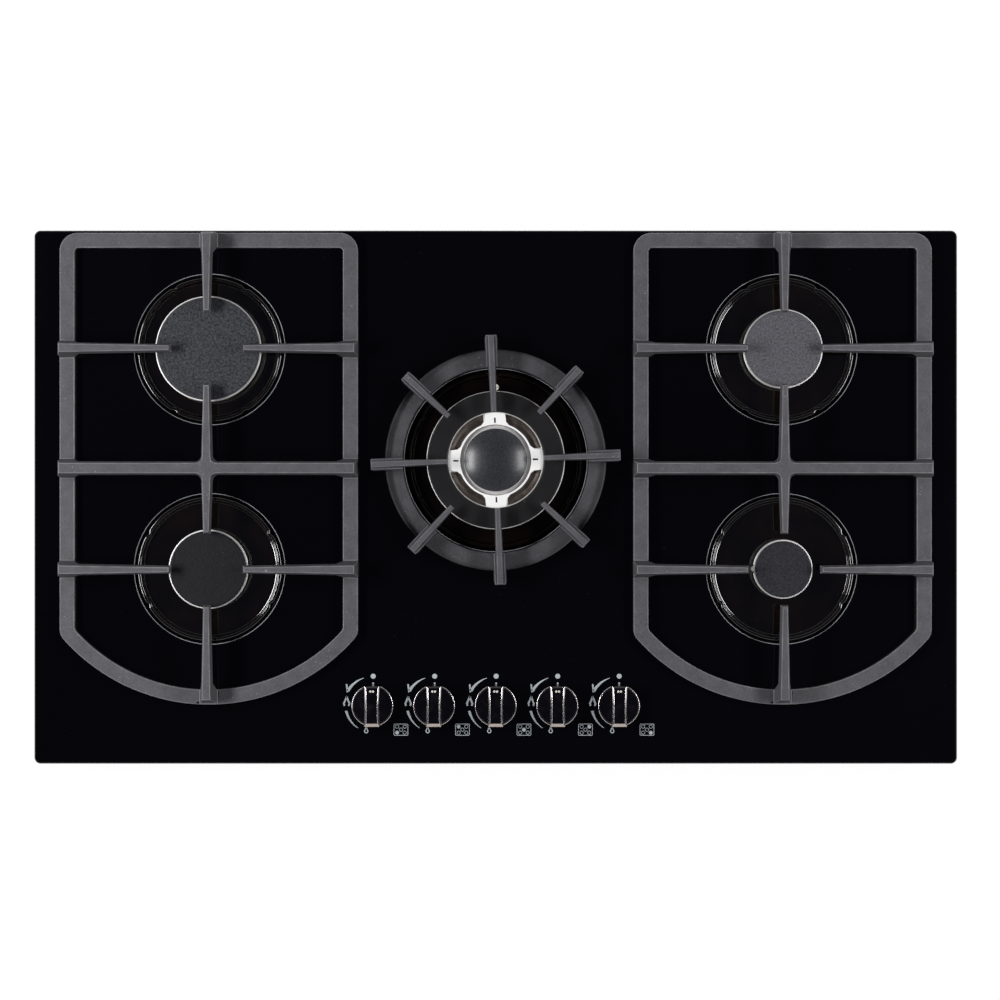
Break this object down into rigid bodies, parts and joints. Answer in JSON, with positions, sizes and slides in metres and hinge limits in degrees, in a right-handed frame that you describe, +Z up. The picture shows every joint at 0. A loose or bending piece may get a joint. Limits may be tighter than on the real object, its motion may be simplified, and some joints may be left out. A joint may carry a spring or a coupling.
{
  "type": "gas cooktop",
  "caption": "Built-in gas cooktop: black glass top, round burners with a wok burner in the middle, cast pan supports and front knobs.",
  "frame": {"origin": "middle of the bottom tray's underside, 60 mm below the seat on the worktop", "axes": "+X to the cook's right, +Y to the back, +Z up"},
  "size_m": [0.9, 0.52, 0.11],
  "materials": {
    "black_glass": "gloss",
    "rim_seal": "matte",
    "tray_steel": "satin",
    "rail_steel": "satin",
    "screw_steel": "satin",
    "brown_black_enamel": "gloss",
    "cast_aluminium": "satin",
    "crown_aluminium": "satin",
    "grey_enamel_coarse": "matte",
    "dark_grey_enamel": "matte",
    "light_grey_enamel": "matte",
    "mid_grey_enamel": "matte",
    "satin_black_enamel": "satin",
    "black_enamel": "matte",
    "white_ceramic": "gloss",
    "jet_brass": "satin",
    "grey_cast_iron": "matte",
    "dark_cast_iron": "matte",
    "foot_rubber": "matte",
    "valve_brass": "satin",
    "plug_brass": "satin",
    "pipe_steel": "satin",
    "inlet_brass": "satin",
    "tube_aluminium": "satin",
    "module_plastic": "matte",
    "gland_plastic": "matte",
    "lead_silicone": "matte",
    "knob_black": "gloss",
    "spindle_steel": "satin"
  },
  "bodies": {
    "cooktop": {"bottom_tray": "tray_steel", "burner_rails": "rail_steel", "cable_gland": "gland_plastic", "front_left_base": "cast_aluminium", "front_left_cup": "brown_black_enamel", "front_right_base": "cast_aluminium", "front_right_cup": "brown_black_enamel", "gas_inlet": "inlet_brass", "gas_jets": "jet_brass", "gas_manifold": "pipe_steel", "gas_tubes": "tube_aluminium", "glass_top": "black_glass", "ignition_leads": "lead_silicone", "ignition_module": "module_plastic", "manifold_brackets": "rail_steel", "rail_screws": "screw_steel", "rear_left_base": "cast_aluminium", "rear_left_cup": "brown_black_enamel", "rear_right_base": "cast_aluminium", "rear_right_cup": "brown_black_enamel", "spark_electrodes": "white_ceramic", "spindle_seals": "foot_rubber", "valve_bodies": "valve_brass", "wok_base": "cast_aluminium", "wok_cup": "brown_black_enamel", "worktop_seal": "rim_seal"},
    "front_left_valve_turning": {"front_left_valve_plug": "plug_brass"},
    "rear_left_valve_turning": {"rear_left_valve_plug": "plug_brass"},
    "wok_valve_turning": {"wok_valve_plug": "plug_brass"},
    "rear_right_valve_turning": {"rear_right_valve_plug": "plug_brass"},
    "front_right_valve_turning": {"front_right_valve_plug": "plug_brass"},
    "front_left_control": {"front_left_knob": "knob_black", "front_left_spindle": "spindle_steel"},
    "rear_left_control": {"rear_left_knob": "knob_black", "rear_left_spindle": "spindle_steel"},
    "wok_control": {"wok_knob": "knob_black", "wok_spindle": "spindle_steel"},
    "rear_right_control": {"rear_right_knob": "knob_black", "rear_right_spindle": "spindle_steel"},
    "front_right_control": {"front_right_knob": "knob_black", "front_right_spindle": "spindle_steel"},
    "rear_left_crown_body": {"rear_left_crown": "crown_aluminium"},
    "rear_left_cap_body": {"rear_left_cap": "grey_enamel_coarse"},
    "front_left_crown_body": {"front_left_crown": "crown_aluminium"},
    "front_left_cap_body": {"front_left_cap": "dark_grey_enamel"},
    "rear_right_crown_body": {"rear_right_crown": "crown_aluminium"},
    "rear_right_cap_body": {"rear_right_cap": "light_grey_enamel"},
    "front_right_crown_body": {"front_right_crown": "crown_aluminium"},
    "front_right_cap_body": {"front_right_cap": "mid_grey_enamel"},
    "wok_outer_crown_body": {"wok_outer_crown": "crown_aluminium"},
    "wok_inner_crown_body": {"wok_inner_crown": "crown_aluminium"},
    "wok_inner_cap_body": {"wok_inner_cap": "satin_black_enamel"},
    "wok_ring_cap_body": {"wok_ring_cap": "black_enamel"},
    "left_support_body": {"left_pan_support": "grey_cast_iron", "left_support_feet": "foot_rubber"},
    "right_support_body": {"right_pan_support": "grey_cast_iron", "right_support_feet": "foot_rubber"},
    "wok_support_body": {"wok_support": "dark_cast_iron", "wok_support_feet": "foot_rubber"}
  },
  "joints": [
    {"name": "front_left_knob_turn", "type": "hinge", "parent": "cooktop", "child": "front_left_valve_turning", "pos_m": [-0.12, -0.203, 0.07], "axis": [0, 0, 1], "range_deg": [0, 165]},
    {"name": "front_left_knob_push", "type": "slide", "parent": "front_left_valve_turning", "child": "front_left_control", "axis": [0, 0, -1], "range_m": [0, 0.0025], "stiffness_N_per_m": 1500, "springref_m": -0.002},
    {"name": "rear_left_knob_turn", "type": "hinge", "parent": "cooktop", "child": "rear_left_valve_turning", "pos_m": [-0.06, -0.203, 0.07], "axis": [0, 0, 1], "range_deg": [0, 165]},
    {"name": "rear_left_knob_push", "type": "slide", "parent": "rear_left_valve_turning", "child": "rear_left_control", "axis": [0, 0, -1], "range_m": [0, 0.0025], "stiffness_N_per_m": 1500, "springref_m": -0.002},
    {"name": "wok_knob_turn", "type": "hinge", "parent": "cooktop", "child": "wok_valve_turning", "pos_m": [0, -0.203, 0.07], "axis": [0, 0, 1], "range_deg": [0, 165]},
    {"name": "wok_knob_push", "type": "slide", "parent": "wok_valve_turning", "child": "wok_control", "axis": [0, 0, -1], "range_m": [0, 0.0025], "stiffness_N_per_m": 1500, "springref_m": -0.002},
    {"name": "rear_right_knob_turn", "type": "hinge", "parent": "cooktop", "child": "rear_right_valve_turning", "pos_m": [0.06, -0.203, 0.07], "axis": [0, 0, 1], "range_deg": [0, 165]},
    {"name": "rear_right_knob_push", "type": "slide", "parent": "rear_right_valve_turning", "child": "rear_right_control", "axis": [0, 0, -1], "range_m": [0, 0.0025], "stiffness_N_per_m": 1500, "springref_m": -0.002},
    {"name": "front_right_knob_turn", "type": "hinge", "parent": "cooktop", "child": "front_right_valve_turning", "pos_m": [0.12, -0.203, 0.07], "axis": [0, 0, 1], "range_deg": [0, 165]},
    {"name": "front_right_knob_push", "type": "slide", "parent": "front_right_valve_turning", "child": "front_right_control", "axis": [0, 0, -1], "range_m": [0, 0.0025], "stiffness_N_per_m": 1500, "springref_m": -0.002},
    {"name": "rear_left_crown_lift", "type": "slide", "parent": "cooktop", "child": "rear_left_crown_body", "axis": [0, 0, 1], "range_m": [0, 0.007]},
    {"name": "rear_left_cap_lift", "type": "slide", "parent": "rear_left_crown_body", "child": "rear_left_cap_body", "axis": [0, 0, 1], "range_m": [0, 0.007]},
    {"name": "front_left_crown_lift", "type": "slide", "parent": "cooktop", "child": "front_left_crown_body", "axis": [0, 0, 1], "range_m": [0, 0.007]},
    {"name": "front_left_cap_lift", "type": "slide", "parent": "front_left_crown_body", "child": "front_left_cap_body", "axis": [0, 0, 1], "range_m": [0, 0.007]},
    {"name": "rear_right_crown_lift", "type": "slide", "parent": "cooktop", "child": "rear_right_crown_body", "axis": [0, 0, 1], "range_m": [0, 0.007]},
    {"name": "rear_right_cap_lift", "type": "slide", "parent": "rear_right_crown_body", "child": "rear_right_cap_body", "axis": [0, 0, 1], "range_m": [0, 0.007]},
    {"name": "front_right_crown_lift", "type": "slide", "parent": "cooktop", "child": "front_right_crown_body", "axis": [0, 0, 1], "range_m": [0, 0.007]},
    {"name": "front_right_cap_lift", "type": "slide", "parent": "front_right_crown_body", "child": "front_right_cap_body", "axis": [0, 0, 1], "range_m": [0, 0.007]},
    {"name": "wok_outer_crown_lift", "type": "slide", "parent": "cooktop", "child": "wok_outer_crown_body", "axis": [0, 0, 1], "range_m": [0, 0.007]},
    {"name": "wok_inner_crown_lift", "type": "slide", "parent": "wok_outer_crown_body", "child": "wok_inner_crown_body", "axis": [0, 0, 1], "range_m": [0, 0.007]},
    {"name": "wok_inner_cap_lift", "type": "slide", "parent": "wok_inner_crown_body", "child": "wok_inner_cap_body", "axis": [0, 0, 1], "range_m": [0, 0.007]},
    {"name": "wok_ring_cap_lift", "type": "slide", "parent": "wok_outer_crown_body", "child": "wok_ring_cap_body", "axis": [0, 0, 1], "range_m": [0, 0.007]},
    {"name": "left_support_lift", "type": "slide", "parent": "cooktop", "child": "left_support_body", "axis": [0, 0, 1], "range_m": [0, 0.06]},
    {"name": "right_support_lift", "type": "slide", "parent": "cooktop", "child": "right_support_body", "axis": [0, 0, 1], "range_m": [0, 0.06]},
    {"name": "wok_support_lift", "type": "slide", "parent": "cooktop", "child": "wok_support_body", "axis": [0, 0, 1], "range_m": [0, 0.06]}
  ]
}
